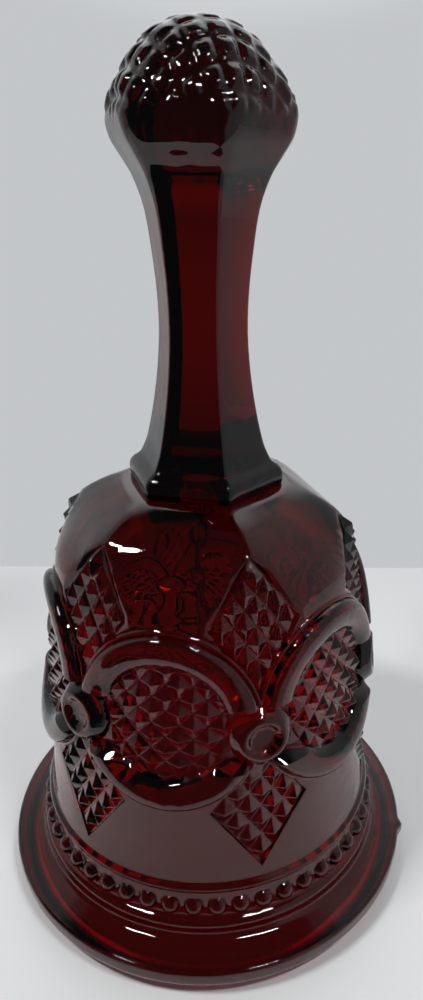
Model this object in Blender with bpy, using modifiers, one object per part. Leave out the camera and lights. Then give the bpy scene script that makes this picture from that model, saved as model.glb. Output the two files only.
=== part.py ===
"""A pressed-glass table bell with a chained clapper.

Frame: metres, +Z up. The origin is on the bell's axis, at the plane of the foot
that the bell stands on. The pattern on the glass repeats six times round the
axis. One ring faces -Y, and the bosses between rings lie 30 degrees either side.

The glass (skirt, collar, handle and knob) is one pressing. A plug of cement
in a socket in the crown holds a wire eye. A chain of wire links hangs from
the eye, and the clapper's eye pin and ball hang from the last link.
"""
import math

import bpy
import bmesh
from mathutils import Matrix, Vector

MM = 0.001

# ---- driving dimensions, in millimetres ----
REPEATS = 6                    # the pattern and the handle are six-sided
SKIRT_SIDES = 48

# raised band above the flange, then the flange's upper side: (radius, height)
BAND = [(36.4, 18.4), (38.2, 10.0)]
FLANGE = [(38.9, 8.7), (41.3, 7.7), (43.8, 6.6)]
# the lip's two roundings: radius, height, size, start and end angle in degrees
LIP_TOP = (43.95, 5.6, 0.9, 66.0, 0.0)
LIP_UNDER = (42.85, 4.1, 2.0, 0.0, -100.0)
# the narrow foot that the bell stands on
FOOT = [(42.0, 1.25), (41.55, 0.25), (41.4, 0.0), (40.9, 0.0), (40.75, 0.25), (40.35, 1.3)]
SOCKET_RADIUS = 4.0            # blind socket in the crown, for the cement
SOCKET_TOP = 87.0
CROWN_TOP = 90.4               # top of the turned skirt, inside the collar
CROWN_RADIUS = 11.0

# outer side of the skirt, from under the collar down to the band: (radius, height)
SKIRT_OUTSIDE = [(15.0, 89.0), (19.6, 87.0), (24.3, 84.0), (28.0, 80.0), (29.9, 76.0),
                 (30.9, 70.0), (32.5, 60.0), (33.7, 50.0), (34.3, 40.0), (35.3, 22.0),
                 (35.7, 19.0)]
# inner side, from the foot up to the crown
SKIRT_INSIDE = [(39.7, 2.5), (38.6, 3.7), (36.9, 5.2), (34.9, 8.8), (33.4, 14.0),
                (31.6, 24.0), (30.4, 40.0), (29.7, 55.0), (28.0, 66.0), (24.0, 74.5),
                (17.0, 79.4), (9.0, 81.7)]
SOCKET_MOUTH = 82.2

# handle sections: half the width across flats, height, and roundness, which is
# 0 for a hexagon and 1 for a circle
FOOT_IN_CROWN = [(8.0, 88.4, 0.0)]
COLLAR = [(12.2, 89.0, 0.0), (13.2, 89.8, 0.0), (13.4, 91.2, 0.0), (12.6, 92.7, 0.0)]
GRIP = [(11.4, 93.5, 0.0), (9.9, 97.5, 0.0), (8.8, 103.0, 0.0), (7.8, 110.0, 0.0),
        (7.3, 117.0, 0.0), (7.5, 124.0, 0.0), (8.1, 131.0, 0.0), (9.0, 138.0, 0.0),
        (10.6, 143.0, 0.1), (12.4, 146.2, 0.2)]
KNOB = [(13.9, 148.7, 0.25), (14.6, 151.0, 0.3), (14.75, 152.8, 0.4), (14.5, 154.7, 0.5),
        (13.75, 156.8, 0.6), (12.5, 159.1, 0.85), (10.7, 161.7, 1.0), (8.3, 163.9, 1.0),
        (4.6, 165.7, 1.0), (1.5, 166.4, 1.0)]
HANDLE_SIDES = 24              # points round each section

RING_HEIGHT = 54.2             # height of the rings' centres
RING_RADIUS = 14.65            # to the middle of the ring's bar
RING_BAR = 2.5                 # radius of the bar
RING_SUNK = 0.95               # how far the bar's middle lies under the surface
BOSS_HEIGHT = 51.8
BOSS_SIDES = 16
# section of a boss: (radius, height over the skirt)
BOSS_OUTLINE = [(0.0, 0.95), (2.4, 1.2), (3.35, 2.2), (4.2, 2.1), (5.8, 0.4), (6.1, -1.4),
                (0.0, -1.4)]

CLEAR = 0.3                    # gap between pieces that touch
EYE_OPENING = 42.0             # how far short of closing an eye's wire stops, in degrees
EYE_NECK = 0.7                 # straight wire between an eye and its shank
WIRE = 0.55                    # radius of the links' wire
EYE_WIRE = 0.6                 # radius of the two eyes' wire
LINKS = 8
LINK_PITCH = 5.0
LINK_BEND = 1.55               # radius of a link's round ends, to the wire's middle
HANGER_EYE_HEIGHT = 77.8       # centre of the eye in the crown
HANGER_EYE_RADIUS = 2.0
HANGER_TOP = 85.4
HANGER_BEND = 82.5             # where the shank leaves the cement
PLUG_BOTTOM = 81.0
PLUG_SIDES = 24
PLUG_CHAMFER = 0.9
CLAPPER_EYE_RADIUS = 1.6
BALL_RADIUS = 6.5
BALL_SIDES = 24
BALL_BELOW_PIVOT = 9.8         # from the last pivot down to the ball's centre
BALL_BORE = 0.9
BALL_HOLE_ANGLE = 80.0         # where the ball's round side meets its bore, in degrees
PIN_HEAD_SCALE = 2.2           # riveted head, against the pin's own radius
PIN_HEAD_TALL = 0.6
PIN_TIP_SCALE = 1.2            # the head's rounded end
PIN_TIP_TALL = 0.4


def clear_scene():
    for obj in list(bpy.data.objects):
        bpy.data.objects.remove(obj, do_unlink=True)


def new_collection(name):
    collection = bpy.data.collections.new(name)
    bpy.context.scene.collection.children.link(collection)
    return collection


def new_material(name, colour, roughness, metallic=0.0, transmission=0.0):
    material = bpy.data.materials.new(name)
    material.use_nodes = True
    shader = material.node_tree.nodes["Principled BSDF"]
    shader.inputs["Base Color"].default_value = (*colour, 1.0)
    shader.inputs["Roughness"].default_value = roughness
    shader.inputs["Metallic"].default_value = metallic
    shader.inputs["Transmission Weight"].default_value = transmission
    return material


def smooth_line(points, steps=3):
    """Catmull-Rom curve through the points, with this many steps from each to the next."""
    ends = [points[0]] + list(points) + [points[-1]]
    line = []
    for k in range(1, len(ends) - 2):
        a, b, c, d = (Vector(p) for p in ends[k - 1:k + 3])
        for step in range(steps):
            t = step / steps
            line.append(0.5 * ((2 * b) + (c - a) * t + (2 * a - 5 * b + 4 * c - d) * t ** 2
                               + (3 * b - a - 3 * c + d) * t ** 3))
    line.append(Vector(points[-1]))
    return [tuple(p) for p in line]


def arc(middle, height, radius, start, end, steps):
    """Points along an arc in the (radius, height) plane, angles in degrees from +radius."""
    angles = [math.radians(start + (end - start) * k / steps) for k in range(steps + 1)]
    return [(middle + radius * math.cos(a), height + radius * math.sin(a)) for a in angles]


def turned(name, outline, steps, collection, material, closed=False):
    """Turn an outline of (radius, height) points, running down its outer side, about Z."""
    mesh = bpy.data.meshes.new(name)
    points = [(r * MM, 0.0, z * MM) for r, z in outline]
    edges = [(k, k + 1) for k in range(len(points) - 1)]
    if closed:
        edges.append((len(points) - 1, 0))
    mesh.from_pydata(points, edges, [])
    obj = bpy.data.objects.new(name, mesh)
    collection.objects.link(obj)
    mesh.materials.append(material)
    screw = obj.modifiers.new("Turn", "SCREW")
    screw.axis = "Z"
    screw.steps = steps
    screw.render_steps = steps
    screw.use_merge_vertices = True
    screw.merge_threshold = 0.00001
    return obj


def wire(name, points, radius, collection, material, closed=False, swell=None):
    """Round wire along points in millimetres. swell scales its radius point by point."""
    curve = bpy.data.curves.new(name, "CURVE")
    curve.dimensions = "3D"
    curve.bevel_depth = radius * MM
    curve.bevel_resolution = 2
    curve.use_fill_caps = True
    spline = curve.splines.new("POLY")
    spline.points.add(len(points) - 1)
    for k, (x, y, z) in enumerate(points):
        spline.points[k].co = (x * MM, y * MM, z * MM, 1.0)
        spline.points[k].radius = swell[k] if swell else 1.0
    spline.use_cyclic_u = closed
    curve.materials.append(material)
    obj = bpy.data.objects.new(name, curve)
    collection.objects.link(obj)
    return obj


def as_mesh(obj):
    """Replace a curve object with its welded mesh, so that it can be joined or cut."""
    graph = bpy.context.evaluated_depsgraph_get()
    mesh = bpy.data.meshes.new_from_object(obj.evaluated_get(graph))
    edit = bmesh.new()
    edit.from_mesh(mesh)
    bmesh.ops.remove_doubles(edit, verts=edit.verts, dist=0.000001)
    bmesh.ops.recalc_face_normals(edit, faces=edit.faces)
    edit.to_mesh(mesh)
    edit.free()
    solid = bpy.data.objects.new(obj.name, mesh)
    solid.matrix_world = obj.matrix_world
    obj.users_collection[0].objects.link(solid)
    bpy.data.objects.remove(obj)
    return solid


def join(obj, tool):
    """Boolean union of obj with tool, which is hidden as a cutter."""
    union = obj.modifiers.new("Join " + tool.name, "BOOLEAN")
    union.operation = "UNION"
    union.solver = "EXACT"
    union.object = tool
    tool.hide_render = True
    tool.display_type = "WIRE"


def shade(obj, angle=35.0):
    if obj.type == "MESH":
        obj.data.shade_smooth()
        obj.data.set_sharp_from_angle(angle=math.radians(angle))


def skirt_radius(height):
    """Outer radius of the skirt at a height."""
    line = smooth_line(SKIRT_OUTSIDE, steps=2)
    for (r_high, high), (r_low, low) in zip(line, line[1:]):
        if low <= height <= high:
            return r_low + (r_high - r_low) * (height - low) / (high - low)
    return line[-1][0]


# ---- the glass ----
def skirt_outline():
    """Down the outside from the crown, round the lip and foot, and up the inside."""
    crown = [(0.0, CROWN_TOP), (CROWN_RADIUS, CROWN_TOP)]
    outside = smooth_line(SKIRT_OUTSIDE, steps=2)
    lip = arc(*LIP_TOP, steps=3) + arc(*LIP_UNDER, steps=5)
    inside = smooth_line(SKIRT_INSIDE, steps=2)
    socket = [(SOCKET_RADIUS, SOCKET_MOUTH), (SOCKET_RADIUS, SOCKET_TOP), (0.0, SOCKET_TOP)]
    return crown + outside + BAND + FLANGE + lip + FOOT + inside + socket


def section_points(half_width, height, roundness):
    """One section of the handle, with hexagon corners over the bosses."""
    points = []
    for k in range(HANDLE_SIDES):
        around = 2 * math.pi * k / HANDLE_SIDES
        from_flat = (around + math.pi / 6) % (math.pi / 3) - math.pi / 6
        hexagon = half_width / math.cos(from_flat)
        reach = (hexagon + (half_width - hexagon) * roundness) * MM
        points.append((reach * math.sin(around), -reach * math.cos(around), height * MM))
    return points


def make_handle(collection, material):
    """Collar, grip and knob: a loft from a hexagonal foot to a round top."""
    edit = bmesh.new()
    rows = [[edit.verts.new(p) for p in section_points(*section)]
            for section in FOOT_IN_CROWN + COLLAR + GRIP + KNOB]
    for lower, upper in zip(rows, rows[1:]):
        for k in range(HANDLE_SIDES):
            after = (k + 1) % HANDLE_SIDES
            edit.faces.new((lower[k], lower[after], upper[after], upper[k]))
    edit.faces.new(list(reversed(rows[0])))
    edit.faces.new(rows[-1])
    mesh = bpy.data.meshes.new("handle")
    edit.to_mesh(mesh)
    edit.free()
    mesh.materials.append(material)
    handle = bpy.data.objects.new("handle", mesh)
    collection.objects.link(handle)
    return handle


def ring_points(turn, count=24):
    """Middle line of a ring's bar, wrapped round the skirt at an angle in radians."""
    points = []
    for k in range(count):
        t = 2 * math.pi * k / count
        height = RING_HEIGHT + RING_RADIUS * math.sin(t)
        surface = skirt_radius(height)
        around = turn + RING_RADIUS * math.cos(t) / skirt_radius(RING_HEIGHT)
        reach = surface - RING_SUNK
        points.append((reach * math.sin(around), -reach * math.cos(around), height))
    return points


def make_boss(number, collection, material):
    """Round boss with a dished middle, standing out radially between two rings."""
    turn = math.radians(30.0 + 60.0 * number)
    boss = turned(f"boss_{number + 1}", BOSS_OUTLINE, BOSS_SIDES, collection, material)
    reach = skirt_radius(BOSS_HEIGHT) * MM
    outward = Vector((math.sin(turn), -math.cos(turn), 0.0))
    place = Matrix.Translation(outward * reach + Vector((0, 0, BOSS_HEIGHT * MM)))
    boss.matrix_world = place @ outward.to_track_quat("Z", "Y").to_matrix().to_4x4()
    return boss


def make_glass(parts, cutters):
    ruby = new_material("ruby_glass", (0.42, 0.01, 0.03), 0.04, transmission=1.0)
    glass = turned("glass_bell", skirt_outline(), SKIRT_SIDES, parts, ruby)
    join(glass, make_handle(cutters, ruby))
    for number in range(REPEATS):
        points = ring_points(math.radians(60.0 * number))
        bar = wire(f"ring_{number + 1}", points, RING_BAR, cutters, ruby, closed=True)
        join(glass, as_mesh(bar))
        join(glass, make_boss(number, cutters, ruby))
    return glass


# ---- the clapper and its chain ----
def make_plug(parts):
    """Cement in the crown's socket, with a hole for the hanger's shank."""
    cement = new_material("cement", (0.62, 0.58, 0.50), 0.85)
    radius = SOCKET_RADIUS - CLEAR
    top = SOCKET_TOP - CLEAR
    hole = EYE_WIRE + CLEAR
    hole_top = HANGER_TOP + CLEAR
    outline = [(0.0, top), (radius, top), (radius, PLUG_BOTTOM + PLUG_CHAMFER),
               (radius - PLUG_CHAMFER, PLUG_BOTTOM), (hole, PLUG_BOTTOM), (hole, hole_top),
               (0.0, hole_top)]
    return turned("crown_plug", outline, PLUG_SIDES, parts, cement)


def eye_points(height, radius, steps=20):
    """A loop bent in the XZ plane that starts and ends just short of closing at its top."""
    span = 2 * math.pi - math.radians(EYE_OPENING)
    points = []
    for k in range(steps + 1):
        a = math.pi / 2 - span * k / steps
        points.append((radius * math.cos(a), 0.0, height + radius * math.sin(a)))
    return points


def make_hanger(parts, gold):
    """Wire eye whose shank stands in the cement."""
    shank = [(0.0, 0.0, HANGER_TOP), (0.0, 0.0, HANGER_BEND),
             (0.0, 0.0, HANGER_EYE_HEIGHT + HANGER_EYE_RADIUS + EYE_NECK)]
    return wire("hanger_eye", shank + eye_points(HANGER_EYE_HEIGHT, HANGER_EYE_RADIUS),
                EYE_WIRE, parts, gold)


def first_pivot():
    return HANGER_EYE_HEIGHT - HANGER_EYE_RADIUS


def link_points(top, bottom, steps=8):
    """Middle line of an oval link in the XZ plane, between two heights."""
    points = []
    for middle, start in ((top - LINK_BEND, 0.0), (bottom + LINK_BEND, math.pi)):
        for k in range(steps + 1):
            a = start + math.pi * k / steps
            points.append((LINK_BEND * math.cos(a), 0.0, middle + LINK_BEND * math.sin(a)))
    return points


def hang(obj, pivot, quarter_turns):
    """Put a piece drawn from its pivot at z = 0 on its pivot, turned about Z."""
    obj.location = (0.0, 0.0, pivot * MM)
    obj.rotation_euler = (0.0, 0.0, math.radians(90.0 * quarter_turns))


def make_links(parts, gold):
    """Each link hangs on the wire of the one above and is turned a quarter turn from it."""
    top = 2 * WIRE + CLEAR
    for number in range(1, LINKS + 1):
        points = link_points(top, -LINK_PITCH)
        link = wire(f"chain_link_{number}", points, WIRE, parts, gold, closed=True)
        hang(link, first_pivot() - LINK_PITCH * (number - 1), number)


def make_clapper(parts, gold):
    """Ball riveted on an eye pin that hangs on the last link."""
    pivot = first_pivot() - LINK_PITCH * LINKS
    eye_top = WIRE + EYE_WIRE + CLEAR
    eye_middle = eye_top - CLAPPER_EYE_RADIUS
    loop = [(x, y, -z + 2 * eye_middle) for x, y, z in
            eye_points(eye_middle, CLAPPER_EYE_RADIUS)]
    ball_bottom = -BALL_BELOW_PIVOT - BALL_RADIUS
    head_top = ball_bottom - CLEAR
    head_low = head_top - PIN_HEAD_TALL
    shank = [(0.0, 0.0, eye_middle - CLAPPER_EYE_RADIUS - EYE_NECK),
             (0.0, 0.0, -BALL_BELOW_PIVOT), (0.0, 0.0, ball_bottom)]
    head = [(0.0, 0.0, head_top), (0.0, 0.0, head_low), (0.0, 0.0, head_low - PIN_TIP_TALL)]
    swell = ([1.0] * (len(loop) + len(shank))
             + [PIN_HEAD_SCALE, PIN_HEAD_SCALE, PIN_TIP_SCALE])
    pin = wire("clapper_pin", list(reversed(loop)) + shank + head, EYE_WIRE, parts, gold,
               swell=swell)
    hang(pin, pivot, LINKS + 1)
    ball_arc = arc(0.0, 0.0, BALL_RADIUS, BALL_HOLE_ANGLE, -BALL_HOLE_ANGLE, 12)
    outline = [(BALL_BORE, ball_arc[0][1])] + ball_arc + [(BALL_BORE, ball_arc[-1][1])]
    ball = turned("clapper_ball", outline, BALL_SIDES, parts, gold, closed=True)
    ball.location = (0.0, 0.0, (pivot - BALL_BELOW_PIVOT) * MM)


def main():
    clear_scene()
    parts = new_collection("table_bell")
    cutters = new_collection("cutters")
    gold = new_material("gold_tone_metal", (0.83, 0.62, 0.27), 0.28, metallic=1.0)
    make_glass(parts, cutters)
    make_plug(parts)
    make_hanger(parts, gold)
    make_links(parts, gold)
    make_clapper(parts, gold)
    for obj in parts.objects:
        shade(obj)


main()
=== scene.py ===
"""Looks for the glass table bell: the pressed ruby glass with its relief, the gold-tone
clapper on its chain, the cement in the crown, and a plain studio round them.

Lengths are in millimetres until a mesh is made, in the frame of the CAD: +Z up, origin
on the bell's axis at the plane of its foot. Azimuth 0 faces -Y, where one ring's centre
is, and the bosses are 30 degrees either side of it.
"""
import math

import bmesh
import bpy
import numpy as np
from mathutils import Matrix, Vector
from mathutils.geometry import delaunay_2d_cdt


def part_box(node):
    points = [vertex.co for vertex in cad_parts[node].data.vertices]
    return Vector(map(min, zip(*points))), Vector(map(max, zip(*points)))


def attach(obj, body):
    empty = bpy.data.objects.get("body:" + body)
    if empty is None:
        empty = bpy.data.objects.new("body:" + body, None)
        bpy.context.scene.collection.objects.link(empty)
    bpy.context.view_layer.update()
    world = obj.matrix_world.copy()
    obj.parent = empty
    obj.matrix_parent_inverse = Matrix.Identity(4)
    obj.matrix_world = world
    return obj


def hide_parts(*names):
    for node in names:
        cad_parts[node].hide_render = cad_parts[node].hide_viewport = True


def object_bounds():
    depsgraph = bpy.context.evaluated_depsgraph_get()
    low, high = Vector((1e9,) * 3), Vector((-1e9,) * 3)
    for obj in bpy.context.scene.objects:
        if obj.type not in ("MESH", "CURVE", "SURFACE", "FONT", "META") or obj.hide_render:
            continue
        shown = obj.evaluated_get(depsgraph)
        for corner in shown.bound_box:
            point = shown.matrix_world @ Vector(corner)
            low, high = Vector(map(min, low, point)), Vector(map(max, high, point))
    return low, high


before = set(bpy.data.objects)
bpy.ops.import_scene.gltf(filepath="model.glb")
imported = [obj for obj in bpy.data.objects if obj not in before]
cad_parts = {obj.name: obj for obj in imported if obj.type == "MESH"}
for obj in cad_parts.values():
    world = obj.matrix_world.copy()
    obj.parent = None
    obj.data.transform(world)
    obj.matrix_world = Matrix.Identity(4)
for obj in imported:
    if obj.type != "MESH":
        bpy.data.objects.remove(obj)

cad_low, cad_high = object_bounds()
MM = 0.001
SECTORS = 6

# ---- the plain skirt, under its relief: (height, radius) ----
SKIRT = [(19.0, 35.7), (22.0, 35.3), (30.0, 34.6), (40.0, 34.3), (50.0, 33.7), (60.0, 32.5),
         (70.0, 30.9), (76.0, 29.9), (80.0, 28.0), (84.0, 24.3), (87.0, 19.6), (89.0, 15.0)]
RELIEF_BOTTOM = 19.4
RELIEF_TOP = 84.0
SKIRT_STEPS = 700              # steps in which the skirt's side is measured
SLOPE_STEP = 0.05              # half the height over which its slope is taken
NEAR = 0.004                   # points closer than this are one point
PLAIN_ROWS = 42                # rows of points up the plain skirt
CLEAR_OF_RING = 0.7            # how far those points stay away from a ring
CLEAR_OF_PANEL = 0.3           # and away from a panel, in cells
ARC_RADIUS = 33.5              # azimuths are unrolled at this radius
HALF_SECTOR = ARC_RADIUS * math.pi / SECTORS
FACETS_START = 75.0            # above here the skirt turns from round to six-sided
FACETS_FULL = 82.0
FACETS_FADE = (87.4, 89.0)     # and back to round, just under the collar
FACET_SOFT = 1.4               # rounding of the facets' edges, in degrees
FACET_CORNER = 1.085           # corner radius of the facets against the round skirt

# ---- the ring and the pyramids inside it ----
RING_HEIGHT = 54.2
FIELD_RADIUS = 11.6
FIELD_CELL = 2.63              # half a pyramid's diagonal
FIELD_FLOOR = -0.9
FIELD_TALL = 1.35
RING_OUTER = 18.2
WALL = 0.25                    # width of a steep step in the relief
# the thin lip along a ring's outer edge: (distance inside that edge, height over the skirt)
LIP = [(0.65, 0.2), (0.5, 0.4), (0.15, 0.4), (0.0, 0.3)]
BAR_MIDDLE = 14.65
BAR_HALF = 2.85
BAR_TALL = 1.85
BAR_LEAN = 0.7                 # how far the bar's crest lies outside its middle
BAR_FOOT = 0.2
LEDGE = 0.1                    # height where the bar meets the pyramids
RING_STEPS = 48                # steps in half a circle of the ring
RING_CUT_STEPS = 20            # and in each part of one that the half sector cuts
BOSS_STEPS = 26
FIELD_LINES = 5                # lines of the pyramids drawn either side of the ring's middle
UPPER_ARC_END = 57.7           # the upper arc's ends are cut level at this height
LOWER_ARC_END = 47.2           # the lower arc starts to rise here
LOWER_ARC_FULL = 45.4
RECESS = -0.7

# ---- the boss between two rings: (radius, height over the skirt) ----
BOSS_HEIGHT = 51.8
BOSS_PROFILE = [(0.0, 0.95), (1.7, 1.0), (2.4, 1.2), (2.9, 1.95), (3.35, 2.18), (3.8, 2.2),
                (4.2, 2.08), (4.6, 1.75), (5.75, 0.55), (6.0, 0.2)]
BOSS_FOOT = 6.2

# ---- the lattice panels above and below each boss ----
PANEL_CELLS = 2                # cells from the middle of a panel to its corner
PANEL_HALF_CELL = 2.28         # half the width of a pyramid
PANEL_TIPS = [(60.2, 83.4), (21.9, 49.1)]     # lowest and highest point of each
PANEL_TIP_LOW = 0.5            # how much lower the pyramids are at a panel's upper tip
PANEL_TIP_FROM = 0.4           # where that starts, from its middle (0) to its tip (1)
PANEL_FLOOR = -0.6
PANEL_TALL = 1.3
PANEL_WALL = 0.09              # width of a panel's rim, in cells
RIDGE_SOFT = 0.065             # rounding of a pyramid's ridges, in half cells
GROOVE_SOFT = 0.05             # rounding of the grooves between pyramids, in cells

# ---- the beaded band and the flange ----
BEADS = 50
BEAD_FIRST = 1.2               # azimuth of the first bead, in degrees
BEAD_COLUMNS = 12
BEAD_HEIGHT = 14.0
BEAD_RADIUS = 1.95
BEAD_TALL = 1.5
UPPER_RIDGE = [(35.75, 19.2), (36.05, 18.95), (36.4, 18.65), (36.6, 18.25), (36.55, 17.85),
               (36.35, 17.55), (36.2, 17.3)]
CHANNEL = [(36.15, 17.0), (36.25, 16.6), (36.7, 11.9), (36.95, 11.55)]
CHANNEL_ROW = 0.36             # spacing of the rows of points down the beads
LOWER_RIDGE = [(37.3, 11.4), (37.8, 11.15), (38.15, 10.7), (38.3, 10.1), (38.3, 9.4),
               (38.45, 8.75), (38.8, 8.25)]
FLANGE = [(39.4, 7.9), (40.6, 7.5), (41.8, 7.15), (43.0, 6.83), (43.85, 6.56)]
# the lip's roundings, over and under its edge: middle's radius and height, size, angles
LIP_ARCS = [(43.95, 5.6, 0.9, 70.0, 0.0), (42.85, 4.1, 2.0, 0.0, -100.0)]
LIP_STEPS = 9
FOOT = [(42.0, 1.25), (41.55, 0.25), (41.4, 0.0), (40.9, 0.0), (40.75, 0.25), (40.35, 1.3)]
SEAM_AZIMUTH = 90.0            # the other side is polished smooth
SEAM_TALL = 0.85
SEAM_WIDTH = 1.1
SEAM_FAINT = 0.12              # share of its height on the flange, next to the lip's
SEAM_RISES = (43.0, 44.8)      # it rises from that share to all of it between these radii

# ---- the inside, from the foot up to the socket in the crown: (radius, height) ----
INSIDE = [(39.7, 2.5), (38.6, 3.7), (36.9, 5.2), (34.9, 8.8), (33.4, 14.0), (31.6, 24.0),
          (30.4, 40.0), (29.7, 55.0), (28.0, 66.0), (24.0, 74.5), (17.0, 79.4), (9.0, 81.7),
          (4.0, 82.2)]
SOCKET_RADIUS = 4.0
SOCKET_TOP = 87.0
SOCKET_BEVEL = 0.4
SOCKET_COLUMNS = 48

# ---- shoulder, collar, grip and knob: (half width across flats, height, corner radius) ----
SHOULDER_ROWS = (85.2, 86.3, 87.3, 88.1, 88.6)      # heights of its loops over the relief
COLLAR = [(12.8, 88.5, 0.8), (13.25, 88.5, 0.9), (13.5, 89.0, 1.1), (13.6, 89.8, 1.3),
          (13.6, 90.7, 1.4), (13.3, 91.6, 1.4), (12.6, 92.4, 1.3), (11.8, 92.9, 1.1)]
GRIP = [(11.35, 93.4, 0.8), (10.65, 95.0, 0.7), (9.95, 97.2, 0.7), (8.8, 103.0, 0.75),
        (7.85, 110.0, 0.8), (7.35, 117.0, 0.8), (7.45, 124.0, 0.8), (8.05, 131.0, 0.9),
        (9.0, 138.0, 1.3), (10.6, 143.0, 1.8), (12.4, 146.2, 2.6), (13.9, 148.7, 3.6),
        (14.6, 151.0, 4.6)]
DOME = [(14.75, 152.8, 5.4), (14.5, 154.7, 6.6), (13.75, 156.8, 8.4), (12.5, 159.1, 10.6),
        (10.7, 161.7, 10.7), (8.3, 163.9, 8.3), (4.6, 165.7, 4.6), (0.0, 166.4, 0.0)]
KNOB_PITCH = 4.5               # spacing of the knob's diamonds
KNOB_TURN = 36.0               # azimuth of one row of diamonds, in degrees
KNOB_DEEP = 0.7
KNOB_GROOVE = 0.35             # where a groove's side ends, from a diamond's middle (0) out (1)
KNOB_FADE = (23.2, 20.8)       # distance from the top where the diamonds have faded, and start to
KNOB_ROW = 0.42                # spacing of the rows of points over the knob
DIAMONDS_FROM = 143.0          # height above which the rows have that spacing

COLUMNS = 144                  # points round the skirt and the flange
HANDLE_COLUMNS = 240           # points round the collar, grip and knob

# ---- chain and clapper ----
LINKS = 8
LINK_SEAM = 0.08               # gap where a link's wire ends meet
LINK_STEPS = 20                # points on each of its bends
EYE_WIRE = 0.6                 # radius of the eyes' wire
EYE_SPAN = 318.0               # how far round an eye its wire goes, in degrees
EYE_STEPS = 40
EYE_NECK = 0.7                 # from an eye to where its shank is straight
HANGER_NECK = 2.0              # the same for the hanger's longer neck
# the pin's riveted head: (distance under the ball, width against the wire)
PIN_HEAD = [(0.3, 1.9), (0.35, 2.2), (0.6, 2.15), (0.85, 1.7)]
BALL_BORE = 0.9                # radius of the hole through the ball
BALL_CHAMFER = 0.35
BALL_BORE_ENDS = 0.93          # where the chamfers start, as a share of the ball's radius
BALL_SEAM = 0.07               # depth of the seam round its middle
BALL_ROWS = 45
BALL_COLUMNS = 64

# ---- the cement in the crown ----
PLUG_COLUMNS = 48
PLUG_CLEAR = 0.05              # from its top to the top of its socket
PLUG_HOLE = 0.3                # room round the hanger's wire
PLUG_HOLE_END = 1.3            # the hole stops this far under the top
# the hole's round edge: (distance outside the hole, height over the face)
PLUG_HOLE_EDGE = [(0.3, 0.05), (0.0, 0.2)]
# the outline of its face, round its edge: (distance inside the edge, height over the face)
PLUG_EDGE = [(0.0, 1.0), (0.25, 0.45), (0.8, 0.1)]
PLUG_MIDDLE = 0.55             # where the face lies lowest, as a share of the radius
PLUG_ROUGH = 0.07              # depth of the roughness of the face
PLUG_FACE = 0.6                # the roughness stays below this height over the face
PLUG_SEED = 7


# ---------------------------------------------------------------- curves
def smooth_fit(points):
    """A smooth function through (x, y) points with rising x, that never overshoots them."""
    x, y = np.array(points, float).T
    step = np.diff(x)
    slope = np.diff(y) / step
    tangent = np.concatenate(([slope[0]], np.zeros(len(x) - 2), [slope[-1]]))
    same_way = slope[1:] * slope[:-1] > 0
    total = np.where(same_way, slope[1:] + slope[:-1], 1.0)
    tangent[1:-1] = np.where(same_way, 2 * slope[1:] * slope[:-1] / total, 0.0)

    def value(at):
        at = np.clip(at, x[0], x[-1])
        k = np.clip(np.searchsorted(x, at) - 1, 0, len(x) - 2)
        t = (at - x[k]) / step[k]
        return ((1 + 2 * t) * (1 - t) ** 2 * y[k] + t * (1 - t) ** 2 * step[k] * tangent[k]
                + t ** 2 * (3 - 2 * t) * y[k + 1] + t ** 2 * (t - 1) * step[k] * tangent[k + 1])
    return value


def smooth_line(points, steps):
    """Catmull-Rom curve through points of any dimension."""
    p = np.array([points[0], *points, points[-1]], float)
    t = np.linspace(0, 1, steps, endpoint=False)[:, None]
    spans = [0.5 * (2 * b + (c - a) * t + (2 * a - 5 * b + 4 * c - d) * t ** 2
                    + (3 * b - a - 3 * c + d) * t ** 3)
             for a, b, c, d in zip(p, p[1:], p[2:], p[3:])]
    return np.vstack(spans + [p[-1:]])


def evenly(line, spacing):
    """A line's points respaced evenly along it, by its first two coordinates."""
    run = np.concatenate(([0.0], np.cumsum(np.hypot(*np.diff(line[:, :2], axis=0).T))))
    count = max(2, round(run[-1] / spacing) + 1)
    at = np.linspace(0, run[-1], count)
    return np.column_stack([np.interp(at, run, column) for column in line.T])


def ease(value, start, end):
    """0 at start and 1 at end, smooth between and level beyond."""
    t = np.clip((value - start) / (end - start), 0.0, 1.0)
    return t * t * (3 - 2 * t)


def ramp(value, start, end):
    """0 at start and 1 at end, straight between and level beyond."""
    return np.clip((value - start) / (end - start), 0.0, 1.0)


skirt_radius = smooth_fit(SKIRT)
_heights = np.linspace(SKIRT[0][0], SKIRT[-1][0], SKIRT_STEPS)
_run = np.concatenate(([0.0], np.cumsum(np.hypot(np.diff(skirt_radius(_heights)),
                                                 np.diff(_heights)))))


def along(height):
    """Distance up the skirt's side to a height."""
    return np.interp(height, _heights, _run)


def height_at(distance):
    return np.interp(distance, _run, _heights)


# ---------------------------------------------------------------- relief on the skirt
RING_UP = along(RING_HEIGHT)
BOSS_UP = along(BOSS_HEIGHT)
PANELS = [((along(low) + along(high)) / 2, (along(high) - along(low)) / (4 * PANEL_CELLS))
          for low, high in PANEL_TIPS]     # middle, and half the height of a pyramid
RING_FOOT = RING_OUTER + WALL
FIELD_FOOT = FIELD_RADIUS - WALL


def bar_profile():
    """A ring's section: (distance from the ring's centre, height over the skirt)."""
    bar = [(BAR_MIDDLE - BAR_HALF * math.cos(a) + BAR_LEAN * math.sin(a) ** 2,
            BAR_FOOT + BAR_TALL * math.sin(a)) for a in np.linspace(0, math.pi, 13)]
    lip = [(RING_OUTER - inward, height) for inward, height in LIP]
    return [(FIELD_RADIUS, LEDGE), *bar[1:-1], *lip]


BAR = bar_profile()


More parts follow.
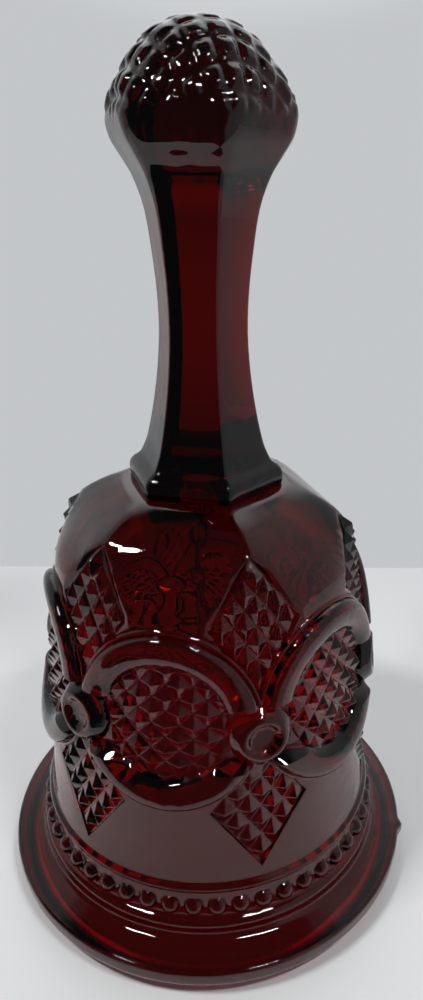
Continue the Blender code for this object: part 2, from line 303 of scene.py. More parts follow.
def pyramids(across, up, half_width, half_height, phase, tall):
    """Height of a lattice of four-sided pyramids over the grooves between them."""
    one = (across / half_width + up / half_height) / 2 + phase
    two = (up / half_height - across / half_width) / 2 + phase
    one = np.abs(one - np.round(one))
    two = np.abs(two - np.round(two))
    near = RIDGE_SOFT - np.abs(one - two)
    from_apex = np.maximum(one, two) + np.where(near > 0, near ** 2 / (4 * RIDGE_SOFT), 0.0)
    edge = 0.5 - from_apex
    edge = np.where(edge < GROOVE_SOFT, edge ** 2 / (2 * GROOVE_SOFT) + GROOVE_SOFT / 2, edge)
    return tall * 2 * edge


def relief(across, distance):
    """How far the pattern stands out from the plain skirt, over one half sector."""
    level = np.zeros_like(across)
    for middle, half_height in PANELS:
        left = across - HALF_SECTOR
        up = distance - middle
        outside = (np.abs(left) / PANEL_HALF_CELL + np.abs(up) / half_height) / 2 - PANEL_CELLS
        pattern = PANEL_FLOOR + pyramids(left, up, PANEL_HALF_CELL, half_height, 0.5, PANEL_TALL)
        pattern = np.where(outside > 0, PANEL_FLOOR + PANEL_TALL * GROOVE_SOFT, pattern)
        to_tip = up / (2 * PANEL_CELLS * half_height)
        pattern = pattern * (1 - PANEL_TIP_LOW * ramp(to_tip, PANEL_TIP_FROM, 1.0))
        share = 1 - ramp(outside, 0.0, PANEL_WALL)
        level = level * (1 - share) + pattern * share
    up = distance - RING_UP
    reach = np.hypot(across, up)
    arcs = np.maximum(ramp(distance, along(UPPER_ARC_END) - WALL, along(UPPER_ARC_END)),
                      ramp(-distance, -along(LOWER_ARC_END), -along(LOWER_ARC_FULL)))
    bar = RECESS + (np.interp(reach, *zip(*BAR)) - RECESS) * arcs
    share = 1 - ramp(reach, RING_OUTER, RING_FOOT)
    level = level * (1 - share) + bar * share
    field = FIELD_FLOOR + pyramids(across, up, FIELD_CELL, FIELD_CELL, 0.0, FIELD_TALL)
    share = 1 - ramp(reach, FIELD_FOOT, FIELD_RADIUS)
    level = level * (1 - share) + field * share
    reach = np.hypot(across - HALF_SECTOR, distance - BOSS_UP)
    share = 1 - ramp(reach, BOSS_PROFILE[-1][0], BOSS_FOOT)
    return level * (1 - share) + np.interp(reach, *zip(*BOSS_PROFILE)) * share


class Net:
    """Lines drawn on one unrolled half sector, triangulated together so that every edge
    of the pattern is an edge of the mesh."""

    def __init__(self):
        self.points = []
        self.edges = []
        self.met = {}

    def line(self, points):
        first = len(self.points)
        self.points.extend(points)
        self.edges.extend((k, k + 1) for k in range(first, len(self.points) - 1))

    def straight(self, start, end, circle, inside):
        """The parts of a line inside or outside a circle and within the half sector."""
        start, end = np.array(start, float), np.array(end, float)
        step = end - start
        cuts = [0.0, 1.0]
        for edge in (0.0, HALF_SECTOR):
            if step[0]:
                cuts.append((edge - start[0]) / step[0])
        centre, radius = circle
        away = start - centre
        a, b, c = step @ step, 2 * away @ step, away @ away - radius ** 2
        root = math.sqrt(max(0.0, b * b - 4 * a * c))
        on_circle = [(-b - root) / (2 * a), (-b + root) / (2 * a)] if root else []
        cuts = sorted(t for t in cuts + on_circle if 0.0 <= t <= 1.0)
        for t_start, t_end in zip(cuts, cuts[1:]):
            middle = start + step * (t_start + t_end) / 2
            is_inside = np.hypot(*(middle - centre)) < radius
            if t_end - t_start < 1e-6 or is_inside != inside:
                continue
            if not 0.0 <= middle[0] <= HALF_SECTOR:
                continue
            ends = [start + step * t_start, start + step * t_end]
            for t, point in zip((t_start, t_end), ends):
                if t in on_circle:
                    spoke = math.atan2(point[1] - centre[1], point[0] - centre[0])
                    self.met.setdefault(radius, []).append(spoke)
            self.line(ends)

    def circle(self, centre, radius, low, high, steps):
        """An arc between two angles, with a point wherever a straight line met it."""
        even = np.linspace(low, high, steps + 1)
        met = np.array([a for a in self.met.get(radius, []) if low < a < high])
        gap = (high - low) / steps * 0.3
        if len(met):
            clear = np.min(np.abs(even[:, None] - met[None, :]), axis=1) > gap
            clear[[0, -1]] = True
            even = np.concatenate((even[clear], met))
        angles = np.unique(np.round(even, 7))
        points = np.column_stack((centre[0] + radius * np.cos(angles),
                                  centre[1] + radius * np.sin(angles)))
        points[:, 0] = np.clip(points[:, 0], 0.0, HALF_SECTOR)
        self.line([tuple(p) for p in points])


def draw_field(net):
    """The ridges and grooves of the pyramids inside the ring."""
    circle = (np.array((0.0, RING_UP)), FIELD_FOOT)
    soft = GROOVE_SOFT * 2 * FIELD_CELL
    span = FIELD_RADIUS * 2
    for k in range(-FIELD_LINES, FIELD_LINES + 1):
        for shift in (-soft, 0.0, soft):
            start = RING_UP + (2 * k + 1) * FIELD_CELL + shift
            net.straight((0.0, start), (span, start - span), circle, True)
            net.straight((0.0, start), (span, start + span), circle, True)
        for shift in (-RIDGE_SOFT, 0.0, RIDGE_SOFT):
            place = (k + shift) * FIELD_CELL
            net.straight((0.0, RING_UP + place), (span, RING_UP + place), circle, True)
            if place >= 0.0:
                net.straight((place, RING_UP - span), (place, RING_UP + span), circle, True)


def draw_panel(net, middle, half_height):
    """The ridges, grooves and rim of one lattice panel, outside the ring."""
    circle = (np.array((0.0, RING_UP)), RING_FOOT)

    def place(one, two):
        return (HALF_SECTOR + PANEL_HALF_CELL * (one - two), middle + half_height * (one + two))

    reach = PANEL_CELLS
    for k in range(-reach, reach + 1):
        for shift in (-GROOVE_SOFT, 0.0, GROOVE_SOFT):
            groove = k + shift
            if abs(groove) <= reach:
                net.straight(place(groove, -reach), place(groove, reach), circle, False)
                net.straight(place(-reach, groove), place(reach, groove), circle, False)
    rim = reach + PANEL_WALL
    for side in (-rim, rim):
        net.straight(place(side, -rim), place(side, rim), circle, False)
        net.straight(place(-rim, side), place(rim, side), circle, False)
    for k in range(-2 * reach, 2 * reach + 1):
        for shift in (-RIDGE_SOFT, 0.0, RIDGE_SOFT):
            ridge = k + shift
            left = 2 * reach - abs(ridge)
            if left <= 0.0:
                continue
            across, up = ridge * PANEL_HALF_CELL, left * half_height
            net.straight((HALF_SECTOR + across, middle - up), (HALF_SECTOR + across, middle + up),
                         circle, False)
            across, up = left * PANEL_HALF_CELL, ridge * half_height
            net.straight((HALF_SECTOR - across, middle + up), (HALF_SECTOR, middle + up),
                         circle, False)


def draw_ring(net):
    """The ring's edges, the cut ends of its two arcs, and the boss."""
    centre = np.array((0.0, RING_UP))
    inner = (centre, FIELD_FOOT)
    for height in (along(UPPER_ARC_END), along(UPPER_ARC_END) - WALL,
                   along(LOWER_ARC_END), along(LOWER_ARC_FULL)):
        net.straight((0.0, height), (HALF_SECTOR, height), inner, False)
    for radius in [FIELD_FOOT, *(r for r, _ in BAR), RING_FOOT]:
        high = math.pi / 2
        if radius <= HALF_SECTOR:
            net.circle(centre, radius, -high, high, RING_STEPS)
        else:
            low = math.acos(HALF_SECTOR / radius)
            net.circle(centre, radius, low, high, RING_CUT_STEPS)
            net.circle(centre, radius, -high, -low, RING_CUT_STEPS)
    boss = np.array((HALF_SECTOR, BOSS_UP))
    for radius in [r for r, _ in BOSS_PROFILE[1:]] + [BOSS_FOOT]:
        net.circle(boss, radius, math.pi / 2, 3 * math.pi / 2, BOSS_STEPS)
    net.points.append(tuple(boss))


def draw_plain(net):
    """The outline of the half sector, and an even spread of points over the plain skirt."""
    low, high = along(RELIEF_BOTTOM), along(RELIEF_TOP)
    columns = np.linspace(0.0, HALF_SECTOR, COLUMNS // (2 * SECTORS) + 1)
    rows = np.linspace(low, high, PLAIN_ROWS)
    for height in (low, high):
        net.line([(x, height) for x in columns])
    for x in (0.0, HALF_SECTOR):
        net.line([(x, y) for y in rows])
    for y in rows[1:-1]:
        for x in columns[1:-1]:
            clear = math.hypot(x, y - RING_UP) > RING_FOOT + CLEAR_OF_RING
            for middle, half_height in PANELS:
                outside = ((HALF_SECTOR - x) / PANEL_HALF_CELL + abs(y - middle) / half_height) / 2
                clear = clear and outside > PANEL_CELLS + CLEAR_OF_PANEL
            if clear:
                net.points.append((x, y))


def half_sector():
    """Triangles of one half sector: points as (azimuth, distance up, relief), and faces."""
    net = Net()
    draw_field(net)
    for panel in PANELS:
        draw_panel(net, *panel)
    draw_ring(net)
    draw_plain(net)
    flat = np.array(net.points, float)
    for side in (0.0, HALF_SECTOR):
        flat[np.abs(flat[:, 0] - side) < NEAR, 0] = side
    points, _, faces, *_ = delaunay_2d_cdt([Vector(p) for p in flat], net.edges, [], 0, NEAR)
    points = np.array([tuple(p) for p in points])
    for side in (0.0, HALF_SECTOR):
        points[np.abs(points[:, 0] - side) < NEAR, 0] = side
    across = points[:, 0]
    on_side = np.where(across == 0.0, 1, np.where(across == HALF_SECTOR, 2, 0))
    faces = [f for f in faces if not (on_side[f[0]] and len({on_side[k] for k in f}) == 1)]
    out = relief(across, points[:, 1])
    return np.column_stack((across / ARC_RADIUS, points[:, 1], out)), faces


def facet_reach(azimuth, height):
    """How the skirt's radius changes where it turns from round to six-sided."""
    off_corner = math.pi / 6 - np.abs((azimuth + math.pi / 6) % (math.pi / 3) - math.pi / 6)
    fold = math.pi / 6 - np.sqrt(off_corner ** 2 + math.radians(FACET_SOFT) ** 2)
    hexagon = FACET_CORNER * math.cos(math.pi / 6) / np.cos(fold)
    share = ease(height, FACETS_START, FACETS_FULL) * (1 - ease(height, *FACETS_FADE))
    return 1 + (hexagon - 1) * share


def on_skirt(azimuth, height, out):
    """Points on the skirt, standing out from it along its normal."""
    slope = (skirt_radius(height + SLOPE_STEP) - skirt_radius(height - SLOPE_STEP))
    slope = slope / (2 * SLOPE_STEP)
    size = np.sqrt(1 + slope ** 2)
    reach = skirt_radius(height) * facet_reach(azimuth, height) + out / size
    return around(reach, azimuth, height - out * slope / size)


def around(reach, azimuth, height):
    """Points at a distance from the axis, an azimuth and a height."""
    return np.column_stack((reach * np.sin(azimuth), -reach * np.cos(azimuth),
                            height * np.ones_like(azimuth)))


# ---------------------------------------------------------------- building meshes
class Body:
    """Points and faces of one mesh, added a loop or a patch at a time."""

    def __init__(self):
        self.points = []
        self.faces = []

    def add(self, points):
        first = len(self.points)
        self.points.extend(map(tuple, points))
        return list(range(first, len(self.points)))

    def join(self, lower, upper):
        """Faces between two closed loops, each spread evenly round from azimuth 0."""
        n, m = len(lower), len(upper)
        if n == m:
            for k in range(n):
                after = (k + 1) % n
                self.faces.append((lower[k], lower[after], upper[after], upper[k]))
            return
        i = j = 0
        while i < n or j < m:
            if j >= m or (i < n and (i + 1) * m <= (j + 1) * n):
                self.faces.append((lower[i % n], lower[(i + 1) % n], upper[j % m]))
                i += 1
            else:
                self.faces.append((lower[i % n], upper[(j + 1) % m], upper[j % m]))
                j += 1

    def cap(self, loop, point):
        tip = self.add([point])[0]
        for k in range(len(loop)):
            self.faces.append((loop[k], loop[(k + 1) % len(loop)], tip))

    def make(self, name, material, weld=0.0, sharp=None):
        mesh = bpy.data.meshes.new(name)
        mesh.from_pydata([(x * MM, y * MM, z * MM) for x, y, z in self.points], [], self.faces)
        edit = bmesh.new()
        edit.from_mesh(mesh)
        if weld:
            bmesh.ops.remove_doubles(edit, verts=edit.verts, dist=weld * MM)
        bmesh.ops.recalc_face_normals(edit, faces=edit.faces)
        edit.to_mesh(mesh)
        edit.free()
        mesh.shade_smooth()
        if sharp:
            mesh.set_sharp_from_angle(angle=math.radians(sharp))
        obj = bpy.data.objects.new(name, mesh)
        bpy.context.scene.collection.objects.link(obj)
        mesh.materials.append(material)
        return obj


def spread(count):
    return 2 * math.pi * np.arange(count) / count


def rounded_hexagon(half_width, corner, azimuth):
    """Distance from the axis to a six-sided outline with round corners over the bosses."""
    corner = min(corner, half_width)
    off_flat = np.abs((azimuth + math.pi / 6) % (math.pi / 3) - math.pi / 6)
    centre = (half_width - corner) / math.cos(math.pi / 6)
    off_corner = math.pi / 6 - off_flat
    flat_ends = math.atan((half_width - corner) * math.tan(math.pi / 6) / half_width)
    on_arc = (centre * np.cos(off_corner)
              + np.sqrt(np.maximum(0.0, corner ** 2 - (centre * np.sin(off_corner)) ** 2)))
    return np.where(off_flat <= flat_ends, half_width / np.cos(off_flat), on_arc)


# ---------------------------------------------------------------- the glass
def add_skirt_relief(glass):
    """The patterned skirt: one half sector, turned and mirrored all the way round."""
    points, faces = half_sector()
    azimuth, distance, out = points.T
    height = height_at(distance)
    for sector in range(SECTORS):
        for side in (1, -1):
            turned = sector * math.pi / 3 + side * azimuth
            ids = glass.add(on_skirt(turned, height, out))
            for face in faces:
                order = face if side == 1 else face[::-1]
                glass.faces.append(tuple(ids[k] for k in order))


def skirt_loop(glass, height):
    azimuth = spread(COLUMNS)
    return glass.add(on_skirt(azimuth, np.full(COLUMNS, height), np.zeros(COLUMNS)))


def ring_of(glass, radius, height, count=COLUMNS):
    """A level loop of points, whose radius may be one for each."""
    return glass.add(around(np.full(count, radius), spread(count), height))


def seam(azimuth, radius):
    """The mould's seam, a slight ridge across the flange that ends in a nick on the lip."""
    off = (azimuth - math.radians(SEAM_AZIMUTH)) * radius
    share = SEAM_FAINT + (1 - SEAM_FAINT) * ramp(radius, *SEAM_RISES)
    return SEAM_TALL * np.exp(-(off / SEAM_WIDTH) ** 2) * share


def add_band(glass, loop):
    """The beaded band between its two ridges, below the skirt. Returns its lowest loop."""
    for radius, height in UPPER_RIDGE:
        after = ring_of(glass, radius, height)
        glass.join(after, loop)
        loop = after
    columns = BEADS * BEAD_COLUMNS
    azimuth = spread(columns)
    pitch = 2 * math.pi / BEADS
    off = (azimuth - math.radians(BEAD_FIRST) + pitch / 2) % pitch - pitch / 2
    ball = (BEAD_RADIUS ** 2 + BEAD_TALL ** 2) / (2 * BEAD_TALL)
    for radius, height in evenly(np.array(CHANNEL), CHANNEL_ROW):
        away = np.hypot(off * radius, height - BEAD_HEIGHT)
        bead = np.sqrt(np.maximum(0.0, ball ** 2 - away ** 2)) - (ball - BEAD_TALL)
        reach = radius + np.where(away < BEAD_RADIUS, bead, 0.0)
        after = glass.add(around(reach, azimuth, height))
        glass.join(after, loop)
        loop = after
    return loop


def add_flange(glass, loop):
    """Lower ridge, flange, lip and foot. Returns the loop at the foot's inner edge."""
    count = 2 * COLUMNS
    lip = [(middle + size * math.cos(a), height + size * math.sin(a))
           for middle, height, size, start, end in LIP_ARCS
           for a in np.radians(np.linspace(start, end, LIP_STEPS))]
    flange = smooth_line(FLANGE, 2)
    for radius, height in [*LOWER_RIDGE, *flange, *lip, *FOOT]:
        after = ring_of(glass, radius + seam(spread(count), radius), height, count)
        glass.join(after, loop)
        loop = after
    return loop


def add_inside(glass, loop):
    """Up the inside from the foot, and the blind socket in the crown."""
    for radius, height in smooth_line(INSIDE, 4):
        after = ring_of(glass, radius, height)
        glass.join(after, loop)
        loop = after
    for radius, height in ((SOCKET_RADIUS, SOCKET_TOP - SOCKET_BEVEL),
                           (SOCKET_RADIUS - SOCKET_BEVEL, SOCKET_TOP)):
        after = ring_of(glass, radius, height, SOCKET_COLUMNS)
        glass.join(after, loop)
        loop = after
    glass.cap(loop, (0.0, 0.0, SOCKET_TOP))


def diamonds(azimuth, from_top):
    """Depth of the grooves between the knob's rounded diamonds."""
    deep = 1.0
    for turn in (KNOB_TURN, KNOB_TURN + 90.0):
        across = from_top * np.cos(azimuth - math.radians(turn)) / KNOB_PITCH
        off = np.abs(across - np.round(across)) * 2
        deep = deep * ease(off, 1.0, KNOB_GROOVE)
    return KNOB_DEEP * (deep - 1) * ramp(from_top, *KNOB_FADE)


def add_handle(glass, loop):
    """Shoulder, collar, grip and knob, up from the skirt's highest loop."""
    azimuth = spread(HANDLE_COLUMNS)
    for height in SHOULDER_ROWS:
        level = np.full(HANDLE_COLUMNS, height)
        after = glass.add(on_skirt(azimuth, level, np.zeros(HANDLE_COLUMNS)))
        glass.join(loop, after)
        loop = after
    path = smooth_line([*GRIP, *DOME], 6)
    plain = path[:, 1] < DIAMONDS_FROM
    rows = np.vstack((COLLAR, path[plain][::2], evenly(path[~plain], KNOB_ROW)[:-1]))
    from_top = np.concatenate((np.cumsum(np.hypot(*np.diff(rows[::-1, :2], axis=0).T))[::-1],
                               [0.0])) + KNOB_ROW
    for (half_width, height, corner), far in zip(rows, from_top):
        reach = rounded_hexagon(half_width, corner, azimuth) + diamonds(azimuth, far)
        after = glass.add(around(reach, azimuth, height))
        glass.join(loop, after)
        loop = after
    glass.cap(loop, (0.0, 0.0, DOME[-1][1]))


def make_glass(material):
    glass = Body()
    add_skirt_relief(glass)
    loop = add_band(glass, skirt_loop(glass, RELIEF_BOTTOM))
    loop = add_flange(glass, loop)
    add_inside(glass, loop)
    add_handle(glass, skirt_loop(glass, RELIEF_TOP))
    obj = glass.make("glass", material, weld=0.002, sharp=40.0)
    weighted = obj.modifiers.new("Weighted normals", "WEIGHTED_NORMAL")
    weighted.keep_sharp = True
    return obj


# ---------------------------------------------------------------- metal and cement
def wire(name, points, radius, material, swell=None):
    """Round wire along points in millimetres, with flat ends."""
    curve = bpy.data.curves.new(name, "CURVE")
    curve.dimensions = "3D"
    curve.bevel_depth = radius * MM
    curve.bevel_resolution = 5
    curve.use_fill_caps = True
    spline = curve.splines.new("POLY")
    spline.points.add(len(points) - 1)
    for k, point in enumerate(points):
        spline.points[k].co = (*(c * MM for c in point), 1.0)
        spline.points[k].radius = 1.0 if swell is None else swell[k]
    curve.materials.append(material)
    obj = bpy.data.objects.new(name, curve)
    bpy.context.scene.collection.objects.link(obj)
    return obj


def box_mm(node):
    """Middle and size of a CAD node's box, in millimetres."""
    low, high = (np.array(corner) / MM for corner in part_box(node))
    return (low + high) / 2, high - low


def make_link(node, material):
    """An oval link of bent wire whose ends meet halfway down one side."""
    middle, size = box_mm(node)
    lies_in_xz = size[0] > size[1]
    wire_radius = min(size[:2]) / 2
    bend = max(size[:2]) / 2 - wire_radius
    straight = size[2] / 2 - wire_radius - bend
    points = [(bend, LINK_SEAM / 2), (bend, straight)]
    points += [(bend * math.cos(a), straight + bend * math.sin(a))
               for a in np.linspace(0, math.pi, LINK_STEPS)[1:]]
    points += [(-bend, 0.0), (-bend, -straight)]
    points += [(bend * math.cos(a), -straight + bend * math.sin(a))
               for a in np.linspace(math.pi, 2 * math.pi, LINK_STEPS)[1:]]
    points += [(bend, -LINK_SEAM / 2)]
    placed = [(x, 0.0, z) if lies_in_xz else (0.0, x, z) for x, z in points]
    placed = [tuple(middle + np.array(p)) for p in placed]
    return wire(node + "_wire", placed, wire_radius, material)


def eye(radius, start, end):
    """A loop of wire in a plane, between two angles in degrees."""
    return [(radius * math.cos(a), radius * math.sin(a))
            for a in np.radians(np.linspace(start, end, EYE_STEPS))]


def make_hanger(node, material):
    """The eye that the chain hangs from, with its shank up in the cement."""
    middle, size = box_mm(node)
    low, high = middle[2] - size[2] / 2, middle[2] + size[2] / 2
    radius = size[0] / 2 - EYE_WIRE
    centre = low + EYE_WIRE + radius
    loop = [(x, 0.0, centre + z) for x, z in eye(radius, 90.0, 90.0 - EYE_SPAN)]
    neck = smooth_line([(0.0, 0.0, high), (0.0, 0.0, centre + radius + HANGER_NECK),
                        (0.0, 0.0, centre + radius + EYE_NECK), loop[0]], 4)
    return wire("hanger_wire", [*map(tuple, neck), *loop[1:]], EYE_WIRE, material)


def make_pin(node, ball_node, material):
    """The clapper's pin: an eye on the last link, a shank through the ball, a riveted head."""
    middle, size = box_mm(node)
    ball_middle, ball_size = box_mm(ball_node)
    in_xz = size[0] > size[1]
    low, high = middle[2] - size[2] / 2, middle[2] + size[2] / 2
    radius = max(size[:2]) / 2 - EYE_WIRE
    centre = high - EYE_WIRE - radius
    ball_low = ball_middle[2] - ball_size[2] / 2
    loop = [(x, centre + z) for x, z in eye(radius, -90.0 + EYE_SPAN, -90.0)]
    shank = [(0.0, centre - radius - EYE_NECK), (0.0, ball_middle[2]), (0.0, ball_low - 0.05)]
    head = [(0.0, ball_low - drop) for drop, _ in PIN_HEAD]
    flat = [*loop, *shank, *head, (0.0, low)]
    swell = [1.0] * len(loop + shank) + [wide for _, wide in PIN_HEAD] + [1.0]
    points = [(x, 0.0, z) if in_xz else (0.0, x, z) for x, z in flat]
    return wire("pin_wire", points, EYE_WIRE, material, swell)


def make_ball(node, material):
    """The clapper's bored ball, with chamfered holes and a fine seam round its middle."""
    middle, size = box_mm(node)
    radius = size[0] / 2
    rim = math.degrees(math.acos((BALL_BORE + BALL_CHAMFER) / radius))
    ball = Body()
    bore_end = radius * BALL_BORE_ENDS
    outline = [(BALL_BORE, -bore_end), (BALL_BORE, bore_end)]
    outline += [(radius * math.cos(a), radius * math.sin(a))
                for a in np.radians(np.linspace(rim, -rim, BALL_ROWS))]
    seam_row = len(outline) // 2 + 1
    outline[seam_row] = (outline[seam_row][0] - BALL_SEAM, outline[seam_row][1])
    azimuth = spread(BALL_COLUMNS)
    first = loop = None
    for reach, height in outline:
        after = ball.add(around(np.full(BALL_COLUMNS, reach), azimuth, middle[2] + height))
        if loop:
            ball.join(loop, after)
        first = first or after
        loop = after
    ball.join(loop, first)
    return ball.make("ball", material, sharp=30.0)


def make_plug(node, material):
    """Cement set in the crown, with a rough face round the hole for the hanger."""
    middle, size = box_mm(node)
    low, high = middle[2] - size[2] / 2, middle[2] + size[2] / 2
    radius = size[0] / 2
    random = np.random.default_rng(PLUG_SEED)
    azimuth = spread(PLUG_COLUMNS)
    plug = Body()
    hole = EYE_WIRE + PLUG_HOLE
    top, hole_top = high - PLUG_CLEAR, high - PLUG_HOLE_END
    rows = [(radius, top), *((radius - inward, low + up) for inward, up in PLUG_EDGE),
            (radius * PLUG_MIDDLE, low),
            *((hole + outward, low + up) for outward, up in PLUG_HOLE_EDGE), (hole, hole_top)]
    loop = first = None
    for reach, height in rows:
        on_face = height < low + PLUG_FACE
        rough = PLUG_ROUGH * random.standard_normal(PLUG_COLUMNS) if on_face else 0.0
        points = around(np.full(PLUG_COLUMNS, reach), azimuth, height)
        points[:, 2] += np.abs(rough)
        after = plug.add(points)
        if loop:
            plug.join(loop, after)
        first = first or after
        loop = after
    plug.cap(loop, (0.0, 0.0, hole_top))
    plug.cap(first[::-1], (0.0, 0.0, top))
    return plug.make("cement_plug", material, sharp=35.0)


# ---------------------------------------------------------------- materials
def new_material(name):
    material = bpy.data.materials.new(name)
    material.use_nodes = True
    nodes = material.node_tree.nodes
    return material, nodes, material.node_tree.links, nodes["Principled BSDF"]


def noise(nodes, links, scale, detail):
    """A noise texture in the object's own coordinates; scale is features a metre."""
    place = nodes.new("ShaderNodeTexCoord")
    texture = nodes.new("ShaderNodeTexNoise")
    texture.inputs["Scale"].default_value = scale
    texture.inputs["Detail"].default_value = detail
    links.new(place.outputs["Object"], texture.inputs["Vector"])
    return texture.outputs["Fac"]


def spread_value(nodes, links, source, low, high, from_low=0.35, from_high=0.65):
    """Remaps a noise to a range of values."""
    remap = nodes.new("ShaderNodeMapRange")
    remap.inputs["From Min"].default_value = from_low
    remap.inputs["From Max"].default_value = from_high
    remap.inputs["To Min"].default_value = low
    remap.inputs["To Max"].default_value = high
    links.new(source, remap.inputs["Value"])
    return remap.outputs["Result"]


def spread_colour(nodes, links, source, *stops):
    """Colours over a noise, as (place, colour) stops."""
    colours = nodes.new("ShaderNodeValToRGB")
    for k, (place, colour) in enumerate(stops):
        stop = colours.color_ramp.elements[k] if k < 2 else colours.color_ramp.elements.new(place)
        stop.position = place
        stop.color = (*colour, 1.0)
    links.new(source, colours.inputs["Fac"])
    return colours.outputs["Color"]


def bumps(nodes, links, shader, source, strength, depth):
    bump = nodes.new("ShaderNodeBump")
    bump.inputs["Strength"].default_value = strength
    bump.inputs["Distance"].default_value = depth * MM
    links.new(source, bump.inputs["Height"])
    links.new(bump.outputs["Normal"], shader.inputs["Normal"])


def ruby_glass():
    """Deep red pressed glass: its colour is what the thickness absorbs."""
    material, nodes, links, shader = new_material("ruby_glass")
    shader.inputs["Base Color"].default_value = (0.52, 0.48, 0.48, 1.0)
    shader.inputs["Transmission Weight"].default_value = 1.0
    shader.inputs["IOR"].default_value = 1.5
    smudge = noise(nodes, links, 90.0, 6.0)
    links.new(spread_value(nodes, links, smudge, 0.0, 0.025, 0.45, 0.75),
              shader.inputs["Roughness"])
    bumps(nodes, links, shader, noise(nodes, links, 48.0, 3.0), 0.9, 0.6)
    absorb = nodes.new("ShaderNodeVolumeAbsorption")
    absorb.inputs["Color"].default_value = (0.918, 0.0, 0.56, 1.0)
    absorb.inputs["Density"].default_value = 1500.0
    links.new(absorb.outputs["Volume"], nodes["Material Output"].inputs["Volume"])
    return material


def gold_metal():
    material, nodes, links, shader = new_material("gold_tone_metal")
    shader.inputs["Metallic"].default_value = 1.0
    tarnish = noise(nodes, links, 420.0, 5.0)
    links.new(spread_colour(nodes, links, tarnish, (0.3, (0.55, 0.36, 0.12)),
                            (0.5, (0.83, 0.6, 0.25)), (0.75, (0.9, 0.7, 0.34))),
              shader.inputs["Base Color"])
    links.new(spread_value(nodes, links, noise(nodes, links, 900.0, 3.0), 0.18, 0.38),
              shader.inputs["Roughness"])
    bumps(nodes, links, shader, noise(nodes, links, 2500.0, 2.0), 0.3, 0.03)
    return material


def cement():
    material, nodes, links, shader = new_material("cement")
    shader.inputs["Specular IOR Level"].default_value = 0.25
    grain = noise(nodes, links, 1800.0, 6.0)
    links.new(spread_colour(nodes, links, grain, (0.3, (0.42, 0.38, 0.31)),
                            (0.55, (0.63, 0.59, 0.51)), (0.8, (0.76, 0.73, 0.66))),
              shader.inputs["Base Color"])
    links.new(spread_value(nodes, links, grain, 0.75, 0.98), shader.inputs["Roughness"])
    bumps(nodes, links, shader, grain, 0.8, 0.15)
    return material


def table_card():
    """The table's finish: almost even, with the faintest cloudiness."""
    material, nodes, links, shader = new_material("table_card")
    cloud = noise(nodes, links, 9.0, 3.0)
    dim = tuple(c * TABLE_CLOUD for c in TABLE_COLOUR)
    links.new(spread_colour(nodes, links, cloud, (0.3, dim), (0.7, TABLE_COLOUR)),
              shader.inputs["Base Color"])
    shader.inputs["Roughness"].default_value = 0.6
    shader.inputs["Specular IOR Level"].default_value = 0.2
    return material


# ---------------------------------------------------------------- studio
CAMERA_AZIMUTH = math.radians(13.73)
CAMERA_REACH = 0.1357
CAMERA_HEIGHT = 0.1422
CAMERA_PITCH = 0.4077          # below the horizon
CAMERA_YAW = math.radians(11.03)
CAMERA_ROLL = 0.0043
CAMERA_LENS = 26.465
CAMERA_SHIFT = -0.0257
TABLE_BACK = 0.126             # from the bell's axis to the table's far edge
TABLE_FRONT = -0.085
TABLE_HALF_WIDTH = 0.5
TABLE_THICK = 0.012
TABLE_EDGE = 0.0008            # rounding of its edges
TABLE_COLOUR = (0.92, 0.93, 0.935)
TABLE_CLOUD = 0.96             # its darkest parts against that colour

# lights: name, azimuth and rise in degrees, distance, width, length, watts, spin in degrees
STRIPS = [("strip_left", -46.0, 56.0, 0.45, 0.030, 0.10, 0.95, 90.0),
          ("strip_right", 50.0, 56.0, 0.45, 0.020, 0.10, 0.65, 90.0)]
ROOM_SIDE = 0.36               # the room's light where no part of it is near
ROOM_COLOUR = (0.97, 1.0, 1.02)
# parts of the room: azimuth, rise, inner and outer edge of its blend in degrees, light
ROOM_PARTS = [(191.0, 0.0, 35.0, 100.0, 0.565),      # the pale wall behind
              (191.0, 44.0, 18.0, 36.0, 1.3),        # a soft light high on that wall
              (-105.0, 42.0, 14.0, 28.0, 0.5),       # and one on the left
              (-15.0, 13.0, 54.0, 66.0, 0.05),       # the unlit end of the room
              (-5.0, 76.0, 30.0, 42.0, 0.05),        # and its ceiling
              (-15.0, -50.0, 24.0, 36.0, 0.05)]      # the floor before the table


def make_camera():
    data = bpy.data.cameras.new("camera")
    data.lens = CAMERA_LENS
    data.shift_x = CAMERA_SHIFT
    data.clip_start = 0.005
    camera = bpy.data.objects.new("camera", data)
    bpy.context.scene.collection.objects.link(camera)
    camera.location = (CAMERA_REACH * math.sin(CAMERA_AZIMUTH),
                       -CAMERA_REACH * math.cos(CAMERA_AZIMUTH), CAMERA_HEIGHT)
    camera.rotation_mode = "XYZ"
    camera.rotation_euler = (math.pi / 2 - CAMERA_PITCH, 0.0, CAMERA_YAW)
    camera.rotation_euler.rotate_axis("Z", CAMERA_ROLL)
    bpy.context.scene.camera = camera


def make_table(material):
    """A pale slab with rounded edges, square to the camera."""
    edit = bmesh.new()
    bmesh.ops.create_cube(edit, size=1.0)
    size = (2 * TABLE_HALF_WIDTH, TABLE_BACK - TABLE_FRONT, TABLE_THICK)
    bmesh.ops.scale(edit, vec=size, verts=edit.verts)
    bmesh.ops.bevel(edit, geom=edit.edges, offset=TABLE_EDGE, segments=4, profile=0.5,
                    affect="EDGES")
    mesh = bpy.data.meshes.new("table")
    edit.to_mesh(mesh)
    edit.free()
    table = bpy.data.objects.new("table", mesh)
    bpy.context.scene.collection.objects.link(table)
    middle = (TABLE_BACK + TABLE_FRONT) / 2
    table.rotation_euler = (0.0, 0.0, CAMERA_YAW)
    table.location = (-middle * math.sin(CAMERA_YAW), middle * math.cos(CAMERA_YAW),
                      -TABLE_THICK / 2)
    mesh.materials.append(material)


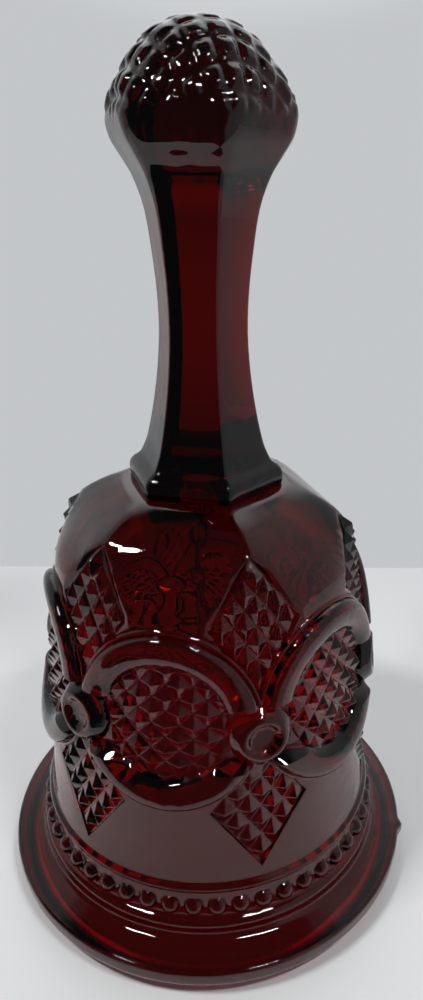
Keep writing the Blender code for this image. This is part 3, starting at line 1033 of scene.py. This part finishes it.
def toward(azimuth, rise):
    """The direction at an azimuth and a rise over the horizon, in degrees."""
    azimuth, rise = math.radians(azimuth), math.radians(rise)
    return Vector((math.sin(azimuth) * math.cos(rise), -math.cos(azimuth) * math.cos(rise),
                   math.sin(rise)))


def make_world():
    """A plain pale room: each part of it blends over the parts listed before it."""
    world = bpy.data.worlds.new("studio")
    world.use_nodes = True
    bpy.context.scene.world = world
    nodes, links = world.node_tree.nodes, world.node_tree.links
    place = nodes.new("ShaderNodeTexCoord")
    light = None
    for azimuth, rise, inner, outer, level in ROOM_PARTS:
        nearness = nodes.new("ShaderNodeVectorMath")
        nearness.operation = "DOT_PRODUCT"
        nearness.inputs[1].default_value = toward(azimuth, rise)
        links.new(place.outputs["Generated"], nearness.inputs[0])
        blend = nodes.new("ShaderNodeMapRange")
        blend.interpolation_type = "SMOOTHSTEP"
        blend.inputs["From Min"].default_value = math.cos(math.radians(outer))
        blend.inputs["From Max"].default_value = math.cos(math.radians(inner))
        blend.inputs["To Min"].default_value = ROOM_SIDE
        blend.inputs["To Max"].default_value = level
        links.new(nearness.outputs["Value"], blend.inputs["Value"])
        if light:
            links.new(light, blend.inputs["To Min"])
        light = blend.outputs["Result"]
    background = nodes["Background"]
    background.inputs["Color"].default_value = (*ROOM_COLOUR, 1.0)
    links.new(light, background.inputs["Strength"])


def make_strip(name, azimuth, rise, distance, width, length, watts, spin):
    """A long soft light, aimed at the bell's middle."""
    data = bpy.data.lights.new(name, "AREA")
    data.shape = "RECTANGLE"
    data.size = width
    data.size_y = length
    data.energy = watts
    light = bpy.data.objects.new(name, data)
    bpy.context.scene.collection.objects.link(light)
    away = toward(azimuth, rise)
    middle = (cad_low + cad_high) / 2
    light.location = middle + away * distance
    light.rotation_mode = "QUATERNION"
    light.rotation_quaternion = away.to_track_quat("Z", "Y")
    light.rotation_mode = "XYZ"
    light.rotation_euler.rotate_axis("Z", math.radians(spin))


# ---------------------------------------------------------------- the object
ruby = ruby_glass()
gold = gold_metal()
glass = make_glass(ruby)
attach(glass, "bell")
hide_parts("glass_bell")

plug = make_plug("crown_plug", cement())
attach(plug, "bell")
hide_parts("crown_plug")

metal = [(make_hanger("hanger_eye", gold), "hanger_eye", "bell"),
         (make_pin("clapper_pin", "clapper_ball", gold), "clapper_pin", "clapper"),
         (make_ball("clapper_ball", gold), "clapper_ball", "clapper")]
for number in range(1, LINKS + 1):
    node = f"chain_link_{number}"
    metal.append((make_link(node, gold), node, f"link_{number}"))
for piece, node, body in metal:
    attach(piece, body)
    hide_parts(node)

make_table(table_card())
make_world()
for strip in STRIPS:
    make_strip(*strip)
make_camera()
bpy.context.scene.view_settings.view_transform = "Standard"
